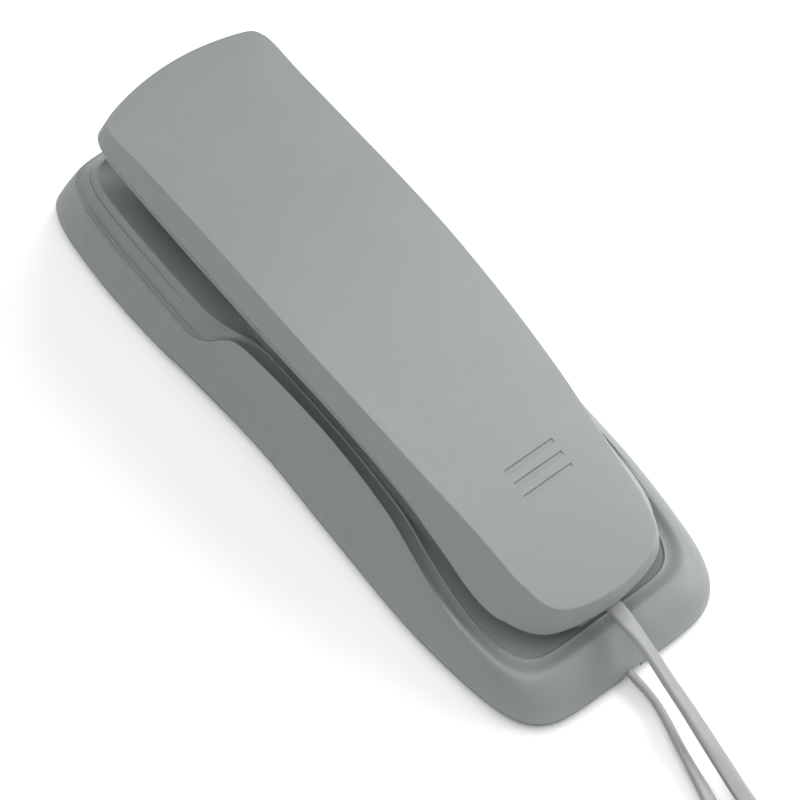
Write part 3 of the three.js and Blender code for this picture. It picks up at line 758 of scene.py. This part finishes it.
def rear_cover(material):
    """The base's rear cover, with its keyhole slots, jack openings, cord notch and screw wells."""
    mic_power, ear_power = BASE_POWERS

    def outline(inset, height):
        return loop(mic=-BASE_END, ear=BASE_END, width=base_width, height=lambda y: 0 * y + height,
                    mic_power=mic_power, ear_power=ear_power, inset=inset)
    corners = [
        (outline(1.4, FOOT_HEIGHT), 0),
        (outline(0.15, FOOT_HEIGHT + 0.9), 0.7),
        (outline(0, COVER_TOP), 0.3),
        (outline(0.8, COVER_TOP), 0),
    ]
    points, faces = lofted(rounded(corners))
    cover = mesh_object("rear_cover", points, faces, material)
    above = COVER_TOP + 2.3
    cord_jack_opening = block((-8, -105, 0), (8, -78.2, above))
    cord_notch = block((-CORD_NOTCH, -BASE_END - 2, 0), (CORD_NOTCH, -104, above))
    line_jack_opening = block((-6, 3, 0), (6, 13, above))
    cut = [cord_jack_opening, cord_notch, line_jack_opening]
    for x, y in SCREW_POSTS:
        cut += [post(x, y, 0, above, 2), post(x, y, -1, FOOT_HEIGHT + 1.1, 3.2)]
    for y in KEYHOLES:
        cut += [post(0, y, -1, above, 5), block((-2.6, y, -1), (2.6, y + 9, above))]
    shaped(cover, cut=cut)
    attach(cover, "base")
    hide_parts("base_rear_cover")


# ---------------------------------------------------------------- the handset

HANDSET_FORM = {"mic_power": 9, "ear_power": 26, "bow": 6}
SEAM_ENDS = {"mic": -99.2, "ear": 98.5}
RIDGE_ENDS = {"mic": -100, "ear": 95.8}
KEY_COLUMN = 13
KEY_ROW = 11.5
KEY_WIDTH = 9.6
KEY_GAP = 0.3
EAR_HOLE_REACH = 4.5
MOUTH_SLOTS = (-3, 0, 3)
GROOVES = (-61, -65, -69)


def ridge_loop(lift=0, inset=0, scale=1):
    """A loop along the ridge between the handset's bevel and its top."""
    return loop(width=ridge_width, height=shifted(ridge_height, lift), inset=inset, scale=scale, **RIDGE_ENDS,
                **HANDSET_FORM)


def seam_loop(height, inset=0):
    """A loop in the plan of the handset's parting line."""
    return loop(width=seam_width, height=height, inset=inset, **SEAM_ENDS, **HANDSET_FORM)


def handset_back(material):
    """The handset's back: bevelled sides, a soft ridge, a crowned top and three shallow grooves."""
    seam_line = shifted(seam_height, SEAM_GAP / 2)
    seam = seam_loop(seam_line)
    ridge = ridge_loop()
    softer = 0.35 * (1 - smooth(ridge[:, 1], -45, 5))[:, None]
    corners = [
        (ridge_loop(CROWN * 0.6 - WALL, WALL, 0.45), 0),
        (ridge_loop(-WALL, WALL), 0),
        (seam_loop(seam_line, WALL), 0),
        (seam, 0.25),
    ]
    corners += [(seam + (ridge - seam) * share, 0) for share in (0.25, 0.5, 0.75)]
    corners += [(ridge - UP * softer, 0.45), (ridge_loop(inset=0.15), 0.5)]
    for scale in (0.93, 0.84, 0.66, 0.45, 0.25):
        corners.append((ridge_loop(CROWN * (1 - scale ** 2) * 0.98, scale=scale), 0))
    points, faces = lofted(rounded(corners))
    back = mesh_object("handset_back", points, faces, material)
    grooves = []
    for y in GROOVES:
        top = float(ridge_height(y)) + CROWN
        grooves.append(block((-6, y - 0.8, top - 0.55), (10, y + 0.8, top + 3)))
    shaped(back, cut=grooves, sharp_degrees=SHARP_DEGREES)
    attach(back, "handset")
    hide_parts("handset_back_shell")


def key_places():
    """The middle and the size of every key opening."""
    dial = [((1 - i % 3) * KEY_COLUMN, 20 - (i // 3) * KEY_ROW, KEY_WIDTH, 7) for i in range(12)]
    return dial + [(side * KEY_COLUMN, 32, KEY_WIDTH, 4.4) for side in (1, -1)]


def handset_face(material):
    """The handset's face: a thin side band under the parting line, the keypad, and both talking ends."""
    def inner_face(y):
        return np.minimum(face_height(y) + 1, seam_height(y) - 0.5)
    seam_line = shifted(seam_height, -SEAM_GAP / 2)
    corners = [
        (seam_loop(face_out, 2.4), 0),
        (seam_loop(face_height, 0.8), 0.6),
        (seam_loop(seam_line), 0.25),
        (seam_loop(seam_line, WALL), 0),
        (seam_loop(inner_face, WALL + 0.4), 0),
        (seam_loop(shifted(face_out, 2), 4.4), 0),
    ]
    points, faces = lofted(rounded(corners))
    face = mesh_object("handset_face", points, faces, material)
    ear_face = float(face_out(EAR_CENTRE))
    ear_boss = post(0, EAR_CENTRE, ear_face - EAR_BOSS_DEPTH, ear_face + 1, 11.2, 11.5)
    mouth_boss = rounded_block(0, -88, 17.2, 26, 18, 16, 2)
    mouth_foot = block((-6, -88, float(floor_height(-80)) + FIT_GAP), (6, -80.5, 17.7))
    ear_hollow = post(0, EAR_CENTRE, ear_face - 2, ear_face + 4, 9.6)
    plug_way = block((-4.4, -100, 18.4), (4.4, -83, 25.3))
    jack_hollow = block((-6.4, -93, 19.2), (6.4, -81.5, 31))
    cord_slot = block((-3.9, -101.4, 10), (3.9, -95, 26))
    cut = [ear_hollow, plug_way, jack_hollow, cord_slot]
    around = np.radians(np.arange(0, 360, 60))
    ear_holes = [(EAR_HOLE_REACH * math.cos(a), EAR_HOLE_REACH * math.sin(a)) for a in around] + [(0, 0)]
    cut += [post(x, EAR_CENTRE + y, 30, 46, 0.9, sides=16) for x, y in ear_holes]
    cut += [block((x - 0.6, -76, 20), (x + 0.6, -70, 32)) for x in MOUTH_SLOTS]
    for x, y, width, length in key_places():
        half_width = width / 2 + KEY_GAP
        half_length = length / 2 + KEY_GAP
        cut.append(block((x - half_width, y - half_length, 30), (x + half_width, y + half_length, 46)))
    shaped(face, [ear_boss, mouth_boss, mouth_foot], cut)
    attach(face, "handset")
    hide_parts("handset_face_shell")


# ---------------------------------------------------------------- light and floor

def area_light(name, place, size, watts):
    """A round soft light that faces the telephone. Its place and size are in metres."""
    data = bpy.data.lights.new(name, "AREA")
    data.shape = "DISK"
    data.size = size
    data.energy = watts
    light = bpy.data.objects.new(name, data)
    light.location = place
    light.rotation_mode = "QUATERNION"
    light.rotation_quaternion = (LOOK_AT - Vector(place)).to_track_quat("-Z", "Y")
    bpy.context.collection.objects.link(light)


def studio():
    """A dim white surround, one soft light above, two from the right and one from the left."""
    world = bpy.data.worlds.new("studio")
    world.use_nodes = True
    background = world.node_tree.nodes["Background"]
    background.inputs["Color"].default_value = (0.97, 0.99, 1.0, 1)
    background.inputs["Strength"].default_value = 0.16
    bpy.context.scene.world = world
    area_light("overhead", (-0.1, 0.1, 1.5), 1.4, 15)
    area_light("key", (1.15, 0.1, 0.9), 1.3, 15)
    area_light("front_key", (1.0, -0.85, 0.62), 1.1, 12)
    area_light("left_fill", (-0.7, -0.4, 1.4), 0.9, 7)
    bpy.context.scene.view_settings.view_transform = "Standard"


def floor():
    """A plain pale floor at the height of the feet."""
    n = Nodes("pale_floor")
    n.link(n.tint((0.94, 0.94, 0.94), n.noise(6, 2), 0.004), "Base Color")
    n.set("Roughness", 0.9)
    reach = 4000
    corners = [(-reach, -reach, 0), (reach, -reach, 0), (reach, reach, 0), (-reach, reach, 0)]
    piece = mesh_object("floor", corners, [(0, 1, 2, 3)], n.material)


# ---------------------------------------------------------------- everything together

def paint(node, material):
    """Give a CAD node its material."""
    node.data.materials.clear()
    node.data.materials.append(material)


make_camera()
cord_material = vinyl("grey_vinyl", CORD_GREY)
handset_lead(cord_material)
curly_cord(cord_material)

shell_plastic = moulded_plastic("grey_shell_plastic", PHONE_GREY, 0.46)
base_shell(shell_plastic)
rear_cover(shell_plastic)
handset_back(shell_plastic)
handset_face(shell_plastic)

slot_of = {part["node"]: part["material_slot"] for part in frame["record"]["subparts"]}
finishes = {
    "shell_plastic": shell_plastic,
    "key_plastic": moulded_plastic("pale_key_plastic", (0.55, 0.59, 0.58), 0.4),
    "rubber": rubber("black_rubber", (0.03, 0.03, 0.03)),
    "steel": metal("zinc_plate", (0.62, 0.62, 0.6), 0.32),
    "circuit_board": board("solder_resist"),
    "dark_plastic": moulded_plastic("black_plastic", (0.018, 0.018, 0.02), 0.4),
    "clear_plastic": clear_plastic("clear_plastic"),
    "cord_vinyl": cord_material,
}
for node_name, node in frame["nodes"].items():
    paint(node, finishes[slot_of[node_name]])

floor()
studio()
